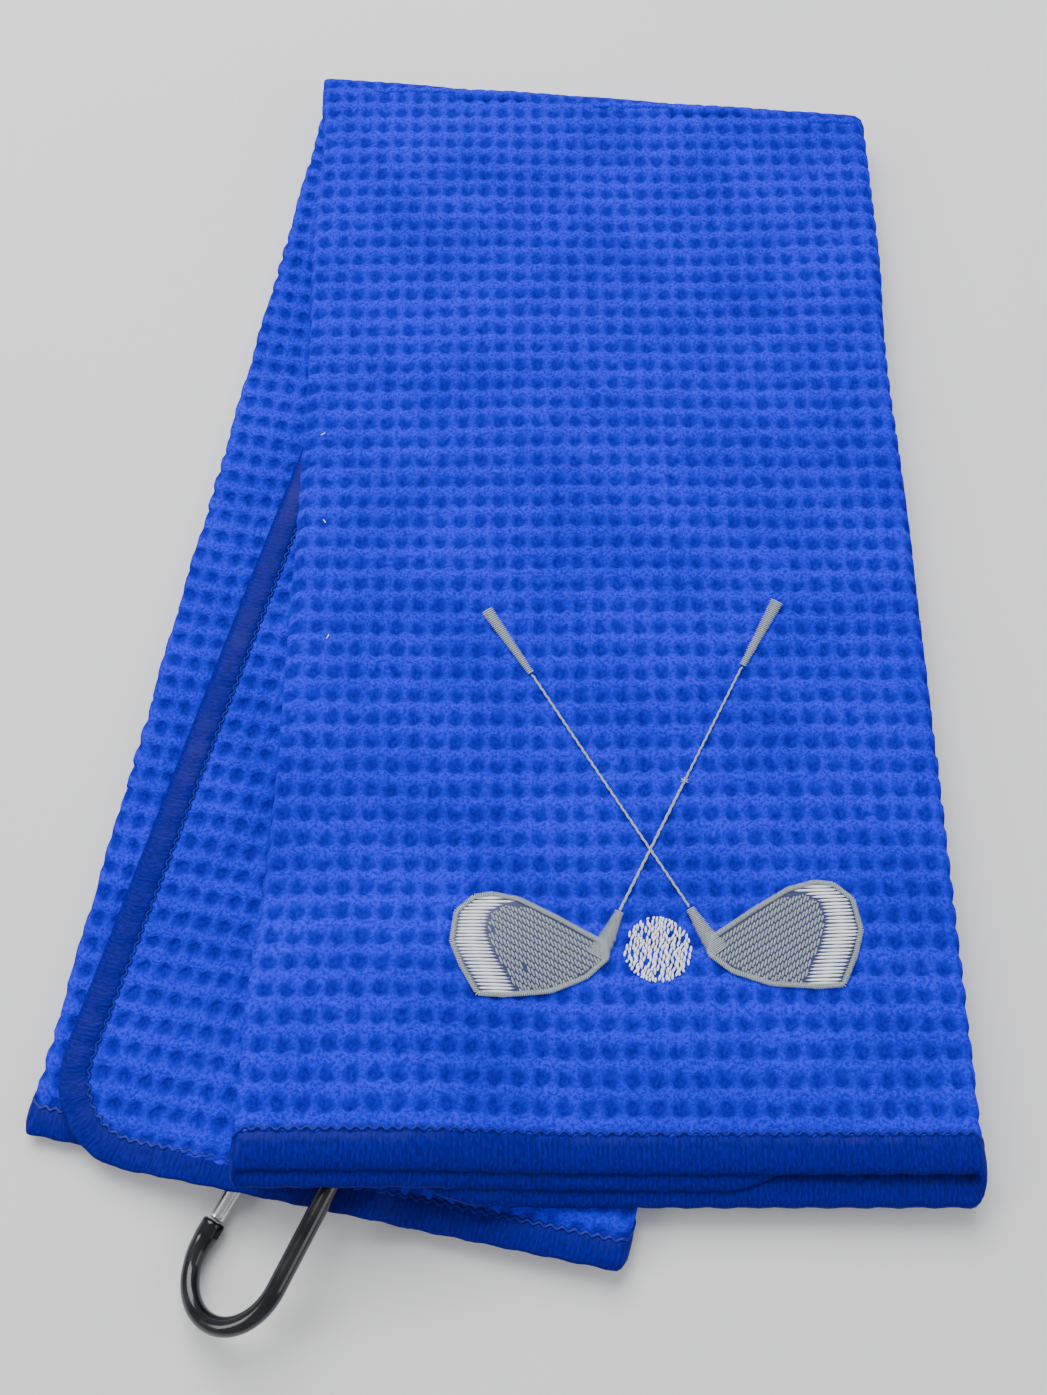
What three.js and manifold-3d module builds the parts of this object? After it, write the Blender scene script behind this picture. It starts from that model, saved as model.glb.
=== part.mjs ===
// Golf towel: a 406 x 610 mm waffle-weave sheet with a bound edge. It is folded lengthwise in three
// panels and then in half across, and it lies flat. Two crossed clubs and a ball are embroidered on
// its face, and a small carabiner hangs in a metal eyelet at the end of the lower half.
// Units are millimetres. Z is up, the half fold is at +Y, and the underside rests on Z = 0.
import * as THREE from "three";
import { mergeVertices } from "three/addons/utils/BufferGeometryUtils.js";
import Module from "manifold-3d";

const wasm = await Module();
wasm.setup();

// Clearance between pieces that touch, and half of it for each of two facing edges.
const GAP = 0.3;
const TRIM = GAP / 2;

// Plan of the two halves: the ends of the half-fold line, then each half's far end.
const FOLD_LEFT = [-58.5, 154.3];
const FOLD_RIGHT = [97.8, 139.5];
const FRONT_END_LEFT = [-58.4, -151.3];
const FRONT_END_RIGHT = [96.0, -149.3];
const BACK_END_LEFT = [-105.0, -135.8];
const BACK_END_RIGHT = [22.6, -165.1];

// The three cloth layers of each half, and how far the cloth is lifted over the eyelet and the wire.
const LAYER = 1.7;
const PITCH = LAYER + GAP;
const PINCHED_LAYER = 0.8;
const BACK_LIFT = 6.15;
const FRONT_LIFT = 9;
const FOLD_HEIGHT = 3 * PITCH;
const FOLD_INNER_RADIUS = 0.5;

// Eyelet: a barrel with a rolled flange below the cloth, and a washer above it.
const EYELET = [-38.5, -129.6];
const BORE_RADIUS = 9;
const BARREL_WALL = 0.5;
const FLANGE_RADIUS = 12;
const FLANGE = 0.4;

// Carabiner: round wire bent to a long loop, wider at its far end. Local -Y runs away from the cloth.
const WIRE_RADIUS = 2;
const NEAR_RADIUS = 10.4;
const FAR_RADIUS = 11.45;
const BORE_TO_LOOP_END = 0.6;
const NEAR_CENTRE = BORE_TO_LOOP_END - NEAR_RADIUS;
const FAR_CENTRE = -42.5;
const LOOP_TURN = -28;
const LOOP_TILT = 28.7;
const GATE_RADIUS = 1.9;
const NOSE_RADIUS = 2.5;
const NOSE_LENGTH = 4.5;
const NOSE_Y = -37.5;
const HINGE_Y = -13.5;
const RIVET_RADIUS = 0.6;
const WIRE_STEPS = 72;

// The wire's flattened tongue, the gate's fork over it, and the gate's catch in the nose. A block's
// rise is how far its middle stands from the height it is named for.
const TONGUE = { wide: 3.2, long: 5, thick: 1.4, rise: 0.6 };
const FORK = { wide: 2 * GATE_RADIUS + 2, long: 6.4, thick: TONGUE.thick + 2 * GAP, rise: 0.2 };
const CATCH = { wide: 1.6, long: 3, thick: 1.2 };
const CATCH_RISE = 0.4;
const WIRE_END_Y = HINGE_Y + 2.2;
const GATE_TOP_Y = HINGE_Y + 1.7;
const GATE_TIP_Y = NOSE_Y + GAP + 0.1;
const SPRING_RADIUS = 0.8;
const SPRING_ENDS_Y = [HINGE_Y - 8.7, HINGE_Y - 3.4];
const POCKET_RADIUS = 1.1;
const POCKET_ENDS_Y = [HINGE_Y - 9, HINGE_Y - 1];

// Embroidery: placed at the crossing of the two shafts and turned a little on the cloth.
const CROSSING = [28.7, -80.1];
const MOTIF_TURN = 2;
const THREAD = 0.6;
const BALL_CENTRE = [0, -22.5];
const BALL_RADIUS = 7.3;
const GRIP = [
  [35.4, 62.3],
  [25.3, 45.3],
];
const GRIP_WIDTHS = [3.2, 1.5];
const SHAFT = [
  [25.1, 45],
  [-7.7, -13.3],
];
const SHAFT_WIDTH = 0.9;
const SHAFT_BREAK = [0.745, 0.8];
const HOSEL = [
  [-7.9, -13.8],
  [-11.6, -20.6],
];
const HOSEL_WIDTHS = [2, 4];
const FACE = [
  [-12.2, -21.6],
  [-11.4, -24],
  [-21.9, -30.2],
  [-34.2, -31.6],
  [-35.6, -20.4],
  [-33.6, -10.4],
  [-27.8, -11.9],
  [-15, -19.8],
];
const TOE = [
  [-34.6, -31.8],
  [-39.2, -31.5],
  [-44.8, -20.4],
  [-43.4, -12.6],
  [-39.9, -9.2],
  [-34.1, -10],
  [-36, -20.4],
];

const cloth = new THREE.MeshStandardMaterial({ color: 0x1c3fd0, roughness: 0.95, metalness: 0 });
const tape = new THREE.MeshStandardMaterial({ color: 0x0a1fa8, roughness: 0.6, metalness: 0 });
const greyThread = new THREE.MeshStandardMaterial({ color: 0x9aa3a5, roughness: 0.5, metalness: 0 });
const whiteThread = new THREE.MeshStandardMaterial({ color: 0xe8ebf5, roughness: 0.5, metalness: 0 });
const blackWire = new THREE.MeshStandardMaterial({ color: 0x0b0c0e, roughness: 0.2, metalness: 0.3 });
const steel = new THREE.MeshStandardMaterial({ color: 0xc9c9c6, roughness: 0.2, metalness: 1 });

const towel = new THREE.Group();

function addMesh(parent, name, geometry, material) {
  const mesh = new THREE.Mesh(geometry, material);
  mesh.name = name;
  parent.add(mesh);
  return mesh;
}

function solidOf(geometry) {
  const bare = new THREE.BufferGeometry();
  const loose = geometry.index ? geometry.toNonIndexed() : geometry;
  bare.setAttribute("position", loose.getAttribute("position"));
  const merged = mergeVertices(bare, 1e-3);
  const mesh = new wasm.Mesh({
    numProp: 3,
    vertProperties: new Float32Array(merged.attributes.position.array),
    triVerts: new Uint32Array(merged.index.array),
  });
  return new wasm.Manifold(mesh);
}

function geometryOf(solid) {
  const mesh = solid.getMesh();
  const geometry = new THREE.BufferGeometry();
  geometry.setAttribute("position", new THREE.BufferAttribute(mesh.vertProperties, 3));
  geometry.setIndex(new THREE.BufferAttribute(mesh.triVerts, 1));
  return geometry;
}

function ramp(value, start, end) {
  return THREE.MathUtils.clamp((value - start) / (end - start), 0, 1);
}

function mix(a, b, t) {
  return [a[0] + (b[0] - a[0]) * t, a[1] + (b[1] - a[1]) * t];
}

// Each half has one grid that its three layers share, so that stacked faces stay parallel. A column
// is its share of the width at the half fold and at the far end; a row is its share of the length.
// The layers count from the bottom up.
const backHalf = {
  name: "back",
  left: [FOLD_LEFT, BACK_END_LEFT],
  right: [FOLD_RIGHT, BACK_END_RIGHT],
  columns: [
    [0, 0],
    [0.22, 0.025],
    [0.265, 0.078],
    [0.3, 0.153],
    [0.36, 0.317],
    [0.58, 0.575],
    [0.65, 0.645],
    [0.745, 0.91],
    [0.79, 0.965],
    [1, 1],
  ],
  rows: [0, 0.83, 0.892, 0.969, 0.9767, 0.9923, 1],
  lifted: (s, t) => ramp(t, 0.83, 0.892) * ramp(s, 0.153, 0.317) * ramp(s, 0.645, 0.575),
  bottom: (lifted, layer) => BACK_LIFT * lifted + layer * (PITCH - (LAYER - PINCHED_LAYER) * lifted),
  thickness: (lifted) => LAYER - (LAYER - PINCHED_LAYER) * lifted,
};
const frontHalf = {
  name: "front",
  left: [FOLD_LEFT, FRONT_END_LEFT],
  right: [FOLD_RIGHT, FRONT_END_RIGHT],
  columns: [
    [0, 0],
    [0.22, 0.12],
    [0.265, 0.165],
    [0.3, 0.203],
    [0.34, 0.271],
    [0.745, 0.67],
    [0.79, 0.717],
    [1, 1],
  ],
  rows: [0, 0.79, 0.915, 0.9652, 0.9768, 0.9884, 1],
  lifted: (s, t) => ramp(t, 0.79, 0.915) * ramp(s, 0.271, 0.203),
  bottom: (lifted, layer) => FOLD_HEIGHT + GAP + FRONT_LIFT * lifted + layer * PITCH,
  thickness: () => LAYER,
};

// A closed slab over a block of the half's grid, trimmed all round to leave the clearance.
function slab(half, layer, fromColumn, toColumn, fromRow, toRow) {
  const rows = half.rows.slice(fromRow, toRow + 1);
  const columns = half.columns.slice(fromColumn, toColumn + 1);
  const length = Math.hypot(half.left[1][0] - half.left[0][0], half.left[1][1] - half.left[0][1]);
  const width = Math.hypot(half.right[1][0] - half.left[1][0], half.right[1][1] - half.left[1][1]);
  const nx = columns.length - 1;
  const ny = rows.length - 1;
  const points = [];
  for (let level = 0; level < 2; level++) {
    for (let j = 0; j <= ny; j++) {
      for (let i = 0; i <= nx; i++) {
        const t = rows[j] + (j === 0 ? TRIM / length : 0) - (j === ny ? TRIM / length : 0);
        const [atFold, atEnd] = columns[i];
        const trimS = (i === 0 ? TRIM / width : 0) - (i === nx ? TRIM / width : 0);
        const s = atFold + (atEnd - atFold) * t + trimS;
        const [x, y] = mix(mix(...half.left, t), mix(...half.right, t), s);
        const lifted = half.lifted(s, t);
        points.push(x, y, half.bottom(lifted, layer) + level * half.thickness(lifted));
      }
    }
  }
  const at = (i, j, level) => level * (nx + 1) * (ny + 1) + j * (nx + 1) + i;
  const index = [];
  const quad = (a, b, c, d) => index.push(a, b, c, a, c, d);
  for (let j = 0; j < ny; j++) {
    for (let i = 0; i < nx; i++) {
      quad(at(i, j, 0), at(i + 1, j, 0), at(i + 1, j + 1, 0), at(i, j + 1, 0));
      const top = [at(i, j, 1), at(i + 1, j, 1), at(i + 1, j + 1, 1), at(i, j + 1, 1)];
      index.push(top[0], top[2], top[1], top[0], top[3], top[2]);
    }
  }
  for (let i = 0; i < nx; i++) {
    quad(at(i, 0, 0), at(i, 0, 1), at(i + 1, 0, 1), at(i + 1, 0, 0));
    quad(at(i, ny, 0), at(i + 1, ny, 0), at(i + 1, ny, 1), at(i, ny, 1));
  }
  for (let j = 0; j < ny; j++) {
    quad(at(0, j, 0), at(0, j + 1, 0), at(0, j + 1, 1), at(0, j, 1));
    quad(at(nx, j, 0), at(nx, j, 1), at(nx, j + 1, 1), at(nx, j + 1, 0));
  }
  const geometry = new THREE.BufferGeometry();
  geometry.setAttribute("position", new THREE.Float32BufferAttribute(points, 3));
  geometry.setIndex(index);
  return geometry;
}

// Cuts the round hole for the eyelet's barrel out of a panel.
function pierce(geometry) {
  const drill = new THREE.CylinderGeometry(
    BORE_RADIUS + BARREL_WALL + GAP,
    BORE_RADIUS + BARREL_WALL + GAP,
    60,
    32,
  );
  drill.rotateX(Math.PI / 2);
  drill.translate(EYELET[0], EYELET[1], 0);
  return geometryOf(solidOf(geometry).subtract(solidOf(drill)));
}

// Panels and their bound edges. The middle panel is the widest; the inner flap joins it at the left
// fold and the outer flap at the right fold, and each flap has a bound free edge along its length.
const outerLayer = { back: 2, front: 0 };
const middleLayer = { back: 0, front: 2 };
for (const half of [backHalf, frontHalf]) {
  const last = half.columns.length - 1;
  const isBack = half === backHalf;
  const open = isBack ? pierce : (geometry) => geometry;
  const [hemRow, endRow] = [3, 5];
  const lay = (name, geometry, material) => addMesh(towel, half.name + "_" + name, geometry, material);
  const middle = middleLayer[half.name];
  const outer = outerLayer[half.name];
  // The flap that shows past the others is one row longer.
  const innerHem = isBack ? hemRow : hemRow + 1;
  const innerEnd = isBack ? endRow : endRow + 1;
  const outerHem = isBack ? hemRow + 1 : hemRow;
  const outerEnd = isBack ? endRow + 1 : endRow;
  lay("middle_panel", open(slab(half, middle, 0, last, 0, hemRow)), cloth);
  lay("middle_hem", slab(half, middle, 0, last, hemRow, endRow), tape);
  lay("inner_flap", open(slab(half, 1, 0, last - 2, 0, innerHem)), cloth);
  lay("inner_flap_side_hem", slab(half, 1, last - 2, last - 1, 0, innerHem), tape);
  lay("inner_flap_hem", slab(half, 1, 0, last - 1, innerHem, innerEnd), tape);
  lay("outer_flap", open(slab(half, outer, 2, last, 0, outerHem)), cloth);
  lay("outer_flap_side_hem", slab(half, outer, 1, 2, 0, outerHem), tape);
  lay("outer_flap_hem", slab(half, outer, 1, last, outerHem, outerEnd), tape);
}

// The half fold: all three layers turn over together round the fold line, at mid height.
const foldLength = Math.hypot(FOLD_RIGHT[0] - FOLD_LEFT[0], FOLD_RIGHT[1] - FOLD_LEFT[1]);
const foldSection = new THREE.Shape();
foldSection.absarc(0, 0, FOLD_HEIGHT, -Math.PI / 2, Math.PI / 2, false);
foldSection.lineTo(0, FOLD_INNER_RADIUS);
foldSection.absarc(0, 0, FOLD_INNER_RADIUS, Math.PI / 2, -Math.PI / 2, true);
foldSection.closePath();
const foldSolid = new THREE.ExtrudeGeometry(foldSection, {
  depth: foldLength,
  bevelEnabled: false,
  curveSegments: 10,
});
const foldDirection = Math.atan2(FOLD_RIGHT[1] - FOLD_LEFT[1], FOLD_RIGHT[0] - FOLD_LEFT[0]);
const foldFrame = new THREE.Group();
foldFrame.position.set(FOLD_LEFT[0], FOLD_LEFT[1], FOLD_HEIGHT);
foldFrame.rotation.set(Math.PI / 2, 0, foldDirection + Math.PI / 2, "ZXY");
const topFold = addMesh(foldFrame, "top_fold", foldSolid, cloth);
topFold.position.x = TRIM;
towel.add(foldFrame);

// Eyelet and washer, held on the pinched cloth with the carabiner's wire through the bore.
const eyeletFrame = new THREE.Group();
const pinchedHeight = 3 * PINCHED_LAYER + 2 * GAP;
const flangeBottom = BACK_LIFT - GAP - FLANGE;
const washerTop = BACK_LIFT + pinchedHeight + GAP + FLANGE;
eyeletFrame.position.set(EYELET[0], EYELET[1], 0);
eyeletFrame.rotation.x = Math.PI / 2;
function ring(profile) {
  const closed = [...profile, profile[0]].map(([r, z]) => new THREE.Vector2(r, z));
  return new THREE.LatheGeometry(closed, 32);
}
const barrelRadius = BORE_RADIUS + BARREL_WALL;
addMesh(
  eyeletFrame,
  "eyelet",
  ring([
    [BORE_RADIUS, flangeBottom],
    [FLANGE_RADIUS, flangeBottom],
    [FLANGE_RADIUS, flangeBottom + FLANGE],
    [barrelRadius, flangeBottom + FLANGE],
    [barrelRadius, washerTop],
    [BORE_RADIUS, washerTop],
  ]),
  steel,
);
addMesh(
  eyeletFrame,
  "eyelet_washer",
  ring([
    [barrelRadius + GAP, washerTop - FLANGE],
    [FLANGE_RADIUS, washerTop - FLANGE],
    [FLANGE_RADIUS, washerTop],
    [barrelRadius + GAP, washerTop],
  ]),
  steel,
);
towel.add(eyeletFrame);

// Carabiner frame. The loop's outline is two arcs and the two lines that touch both.
const loopFrame = new THREE.Group();
const loopMiddle = (flangeBottom + washerTop) / 2;
loopFrame.position.set(EYELET[0], EYELET[1], loopMiddle);
loopFrame.rotation.set(0, THREE.MathUtils.degToRad(-LOOP_TILT), THREE.MathUtils.degToRad(LOOP_TURN), "ZYX");
towel.add(loopFrame);
const taper = Math.asin((FAR_RADIUS - NEAR_RADIUS) / (NEAR_CENTRE - FAR_CENTRE));
const sideX = (y) => -(FAR_RADIUS + (FAR_CENTRE - y) * Math.sin(taper)) / Math.cos(taper);

const wirePath = new THREE.Path();
// The wire starts a little way inside the nose.
const wireStart = NOSE_Y - NOSE_LENGTH + 1;
wirePath.moveTo(sideX(wireStart), wireStart);
const arcStart = FAR_CENTRE + FAR_RADIUS * Math.sin(taper);
wirePath.lineTo(sideX(arcStart), arcStart);
wirePath.absarc(0, FAR_CENTRE, FAR_RADIUS, Math.PI - taper, 2 * Math.PI + taper, false);
wirePath.absarc(0, NEAR_CENTRE, NEAR_RADIUS, taper, Math.PI - taper, false);
wirePath.lineTo(sideX(WIRE_END_Y), WIRE_END_Y);
const wirePoints = wirePath.getSpacedPoints(WIRE_STEPS).map((p) => new THREE.Vector3(p.x, p.y, 0));
const wireSection = new THREE.Shape().absarc(0, 0, WIRE_RADIUS, 0, 2 * Math.PI, false);
const wire = new THREE.ExtrudeGeometry(wireSection, {
  steps: WIRE_STEPS,
  curveSegments: 7,
  extrudePath: new THREE.CatmullRomCurve3(wirePoints, false, "centripetal"),
});

// A rod along the gate's line, from one height to the other.
function gateRod(radius, fromY, toY, sides = 20) {
  const rod = new THREE.CylinderGeometry(radius, radius, Math.abs(toY - fromY), sides);
  rod.rotateZ(-taper);
  rod.translate(sideX((fromY + toY) / 2), (fromY + toY) / 2, 0);
  return rod;
}
function blockAt(x, y, wide, long, thick) {
  const block = new THREE.BoxGeometry(wide, long, thick);
  block.translate(x, y, 0);
  return block;
}
function crossHole(radius, y) {
  const hole = new THREE.CylinderGeometry(radius, radius, 20, 16);
  hole.rotateX(Math.PI / 2);
  hole.translate(sideX(y), y, 0);
  return hole;
}

// The nose is swaged wider, with a slot open to the inside that takes the gate's catch.
const nose = solidOf(gateRod(NOSE_RADIUS, NOSE_Y - NOSE_LENGTH, NOSE_Y));
const catchY = NOSE_Y - CATCH.long / 2 + CATCH_RISE;
const catchX = sideX(catchY);
const slotWide = CATCH.wide + 2 * GAP + 2 * NOSE_RADIUS;
const noseSlot = blockAt(
  catchX - CATCH.wide / 2 - GAP + slotWide / 2,
  catchY,
  slotWide,
  CATCH.long + 2 * GAP,
  CATCH.thick + 2 * GAP,
);
// The tongue is the wire's flattened end, which the forked gate straddles.
const tongue = blockAt(sideX(HINGE_Y), HINGE_Y + TONGUE.rise, TONGUE.wide, TONGUE.long, TONGUE.thick);
const frameSolid = solidOf(wire)
  .add(nose)
  .add(solidOf(tongue))
  .subtract(solidOf(noseSlot))
  .subtract(solidOf(crossHole(RIVET_RADIUS + GAP, HINGE_Y)));
addMesh(loopFrame, "carabiner_frame", geometryOf(frameSolid), blackWire);

// Gate: a polished rod, forked at the rivet and closed against the nose by a hidden spring.
const fork = blockAt(sideX(HINGE_Y), HINGE_Y + FORK.rise, FORK.wide, FORK.long, FORK.thick);
const springPocket = solidOf(gateRod(POCKET_RADIUS, ...POCKET_ENDS_Y, 12));
const gateSolid = solidOf(gateRod(GATE_RADIUS, GATE_TIP_Y, GATE_TOP_Y))
  .subtract(solidOf(fork))
  .subtract(springPocket)
  .subtract(solidOf(crossHole(RIVET_RADIUS + GAP, HINGE_Y)));
addMesh(loopFrame, "carabiner_gate", geometryOf(gateSolid), steel);

const rivet = new THREE.CylinderGeometry(RIVET_RADIUS, RIVET_RADIUS, 2 * GATE_RADIUS, 16);
rivet.rotateX(Math.PI / 2);
rivet.translate(sideX(HINGE_Y), HINGE_Y, 0);
addMesh(loopFrame, "gate_rivet", rivet, steel);
addMesh(loopFrame, "gate_spring", gateRod(SPRING_RADIUS, ...SPRING_ENDS_Y, 10), steel);
const catchPlate = blockAt(catchX, catchY - TRIM, CATCH.wide, CATCH.long - 2 * TRIM, CATCH.thick);
addMesh(loopFrame, "gate_catch", catchPlate, steel);

// Embroidery, as flat patches on the face of the front middle panel. A club is drawn once with its
// head at the left, and mirrored for the other.
const motif = new THREE.Group();
motif.position.set(CROSSING[0], CROSSING[1], 2 * FOLD_HEIGHT + GAP);
motif.rotation.z = THREE.MathUtils.degToRad(MOTIF_TURN);
towel.add(motif);

function patch(points, flipped) {
  const sign = flipped ? -1 : 1;
  const outline = points.map(([x, y]) => new THREE.Vector2(sign * x, y));
  return new THREE.ExtrudeGeometry(new THREE.Shape(outline), { depth: THREAD, bevelEnabled: false });
}
function strip(from, to, fromWidth, toWidth) {
  const length = Math.hypot(to[0] - from[0], to[1] - from[1]);
  const across = [(to[1] - from[1]) / length / 2, -(to[0] - from[0]) / length / 2];
  return [
    [from[0] - across[0] * fromWidth, from[1] - across[1] * fromWidth],
    [from[0] + across[0] * fromWidth, from[1] + across[1] * fromWidth],
    [to[0] + across[0] * toWidth, to[1] + across[1] * toWidth],
    [to[0] - across[0] * toWidth, to[1] - across[1] * toWidth],
  ];
}
const grip = strip(...GRIP, ...GRIP_WIDTHS);
const hosel = strip(...HOSEL, ...HOSEL_WIDTHS);
for (const side of ["left", "right"]) {
  // The left head's shaft crosses over; the right head's is broken where it passes below.
  const flipped = side === "right";
  const name = side + "_club_";
  addMesh(motif, name + "grip", patch(grip, flipped), greyThread);
  if (flipped) {
    const upper = strip(SHAFT[0], mix(...SHAFT, SHAFT_BREAK[0]), SHAFT_WIDTH, SHAFT_WIDTH);
    const lower = strip(mix(...SHAFT, SHAFT_BREAK[1]), SHAFT[1], SHAFT_WIDTH, SHAFT_WIDTH);
    addMesh(motif, name + "upper_shaft", patch(upper, true), greyThread);
    addMesh(motif, name + "lower_shaft", patch(lower, true), greyThread);
  } else {
    addMesh(motif, name + "shaft", patch(strip(...SHAFT, SHAFT_WIDTH, SHAFT_WIDTH), false), greyThread);
  }
  addMesh(motif, name + "hosel", patch(hosel, flipped), greyThread);
  addMesh(motif, name + "face", patch(FACE, flipped), greyThread);
  addMesh(motif, name + "toe", patch(TOE, flipped), whiteThread);
}
const ball = new THREE.CylinderGeometry(BALL_RADIUS, BALL_RADIUS, THREAD, 32);
ball.rotateX(Math.PI / 2);
ball.translate(BALL_CENTRE[0], BALL_CENTRE[1], THREAD / 2);
addMesh(motif, "golf_ball", ball, whiteThread);

export default towel;
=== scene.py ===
import math
import random
import bmesh
import bpy
import numpy as np
from mathutils import Matrix, Vector


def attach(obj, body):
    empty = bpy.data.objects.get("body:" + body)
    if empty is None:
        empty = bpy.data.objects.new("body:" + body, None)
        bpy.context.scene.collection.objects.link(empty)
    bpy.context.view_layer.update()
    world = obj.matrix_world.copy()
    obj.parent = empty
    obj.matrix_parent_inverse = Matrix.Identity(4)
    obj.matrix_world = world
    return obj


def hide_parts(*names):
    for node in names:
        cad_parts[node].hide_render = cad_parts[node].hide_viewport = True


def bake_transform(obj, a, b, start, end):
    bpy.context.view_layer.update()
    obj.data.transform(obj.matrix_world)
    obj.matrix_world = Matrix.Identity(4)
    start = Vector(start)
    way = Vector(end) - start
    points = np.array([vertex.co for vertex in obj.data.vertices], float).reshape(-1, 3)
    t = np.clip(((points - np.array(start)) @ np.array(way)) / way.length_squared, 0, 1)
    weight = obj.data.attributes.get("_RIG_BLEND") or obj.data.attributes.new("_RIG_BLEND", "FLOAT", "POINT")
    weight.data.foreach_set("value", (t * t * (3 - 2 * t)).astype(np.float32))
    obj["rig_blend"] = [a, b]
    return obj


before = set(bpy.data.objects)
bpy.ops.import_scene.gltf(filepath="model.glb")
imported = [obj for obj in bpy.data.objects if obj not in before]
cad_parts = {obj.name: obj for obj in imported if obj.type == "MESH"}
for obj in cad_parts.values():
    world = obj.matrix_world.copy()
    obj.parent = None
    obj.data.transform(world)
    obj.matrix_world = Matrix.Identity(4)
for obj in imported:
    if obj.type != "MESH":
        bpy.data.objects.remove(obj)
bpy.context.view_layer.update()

# Camera, table and lights.
# The towel lies on a plain pale table under one broad soft light and a weaker one from the side.
CAMERA_PLACE = (0, -0.175, 0.316)
CAMERA_TILT = math.radians(23.6)
LENS_MM = 36.13
TABLE_COLOUR = (0.74, 0.74, 0.73, 1)
TABLE_HALF_SIZE = 5
LIGHTS = [
    ("main_light", (-0.25, 0.75, 1.05), (0, 0, 0), 1.1, 27),
    ("side_light", (0.95, -0.35, 0.6), (0, 0, 0), 0.7, 4),
    ("strip_light", (-0.75, -0.2, 0.5), (-0.05, -0.12, 0), 0.35, 2.5),
]
WORLD_COLOUR = (0.9, 0.93, 1, 1)
WORLD_STRENGTH = 0.4

lens = bpy.data.cameras.new("camera")
lens.lens = LENS_MM
camera = bpy.data.objects.new("camera", lens)
camera.location = CAMERA_PLACE
camera.rotation_euler = (CAMERA_TILT, 0, 0)
bpy.context.scene.collection.objects.link(camera)
bpy.context.scene.camera = camera

for name, place, target, size, power in LIGHTS:
    lamp = bpy.data.lights.new(name, "AREA")
    lamp.size = size
    lamp.energy = power
    light = bpy.data.objects.new(name, lamp)
    light.location = place
    light.rotation_euler = (Vector(target) - Vector(place)).to_track_quat("-Z", "Y").to_euler()
    bpy.context.scene.collection.objects.link(light)

world = bpy.data.worlds.new("room")
world.use_nodes = True
world.node_tree.nodes["Background"].inputs["Color"].default_value = WORLD_COLOUR
world.node_tree.nodes["Background"].inputs["Strength"].default_value = WORLD_STRENGTH
bpy.context.scene.world = world


class Recipe:
    """A material or a node group being put together, one node at a time."""

    def __init__(self, tree):
        self.tree = tree

    def add(self, kind, settings=None, **inputs):
        """Adds a node. Inputs are named in words joined by _, or numbered as i0, i1, and so on."""
        node = self.tree.nodes.new(kind)
        for key, value in (settings or {}).items():
            setattr(node, key, value)
        for key, value in inputs.items():
            numbered = key[0] == "i" and key[1:].isdigit()
            socket = node.inputs[int(key[1:])] if numbered else node.inputs[key.replace("_", " ")]
            if isinstance(value, bpy.types.NodeSocket):
                self.tree.links.new(value, socket)
            else:
                socket.default_value = value
        return node

    def maths(self, operation, first, second=0.0, third=0.0):
        node = self.add("ShaderNodeMath", {"operation": operation}, i0=first, i1=second, i2=third)
        return node.outputs[0]

    def vectors(self, operation, first, second):
        return self.add("ShaderNodeVectorMath", {"operation": operation}, i0=first, i1=second).outputs[0]

    def blend_colours(self, share, first, second, how="MIX"):
        settings = {"data_type": "RGBA", "blend_type": how}
        node = self.add("ShaderNodeMix", settings, i0=share, i6=first, i7=second)
        return node.outputs[2]

    def spread(self, value, low, high, to_low=0.0, to_high=1.0):
        """Spreads a value from low..high over to_low..to_high, with soft ends."""
        settings = {"interpolation_type": "SMOOTHSTEP"}
        node = self.add("ShaderNodeMapRange", settings, i0=value, i1=low, i2=high, i3=to_low, i4=to_high)
        return node.outputs[0]


def new_finish(name, roughness, **constants):
    """A material with one Principled shader. Constants are its plain sockets."""
    finish = bpy.data.materials.new(name)
    finish.use_nodes = True
    shader = finish.node_tree.nodes["Principled BSDF"]
    shader.inputs["Roughness"].default_value = roughness
    for key, value in constants.items():
        shader.inputs[key.replace("_", " ")].default_value = value
    return finish, Recipe(finish.node_tree), shader


def link_in(recipe, shader, **values):
    for key, value in values.items():
        recipe.tree.links.new(value, shader.inputs[key.replace("_", " ")])


def new_group(name, takes, gives):
    """A node group. It takes and gives sockets, each a name and a type."""
    tree = bpy.data.node_groups.new(name, "ShaderNodeTree")
    for label, kind in takes:
        tree.interface.new_socket(name=label, in_out="INPUT", socket_type=kind)
    for label, kind in gives:
        tree.interface.new_socket(name=label, in_out="OUTPUT", socket_type=kind)
    recipe = Recipe(tree)
    return tree, recipe, recipe.add("NodeGroupInput"), recipe.add("NodeGroupOutput")


def finished_piece(bm, name, finish):
    """Turns a bmesh into an object with its finish."""
    mesh = bpy.data.meshes.new(name)
    bm.to_mesh(mesh)
    bm.free()
    mesh.shade_smooth()
    piece = bpy.data.objects.new(name, mesh)
    bpy.context.scene.collection.objects.link(piece)
    mesh.materials.append(finish)
    return piece


def new_grid(across, along):
    """A flat grid to be shaped, with its own UV map, and each point's place on it from 0 to 1."""
    bm = bmesh.new()
    bm.loops.layers.uv.new("lay")
    bmesh.ops.create_grid(bm, x_segments=across, y_segments=along, size=0.5, calc_uvs=True)
    places = np.array([v.co[:2] for v in bm.verts]) + 0.5
    return bm, places


def move_to(bm, points):
    for vertex, point in zip(bm.verts, points.tolist()):
        vertex.co = point


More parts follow.
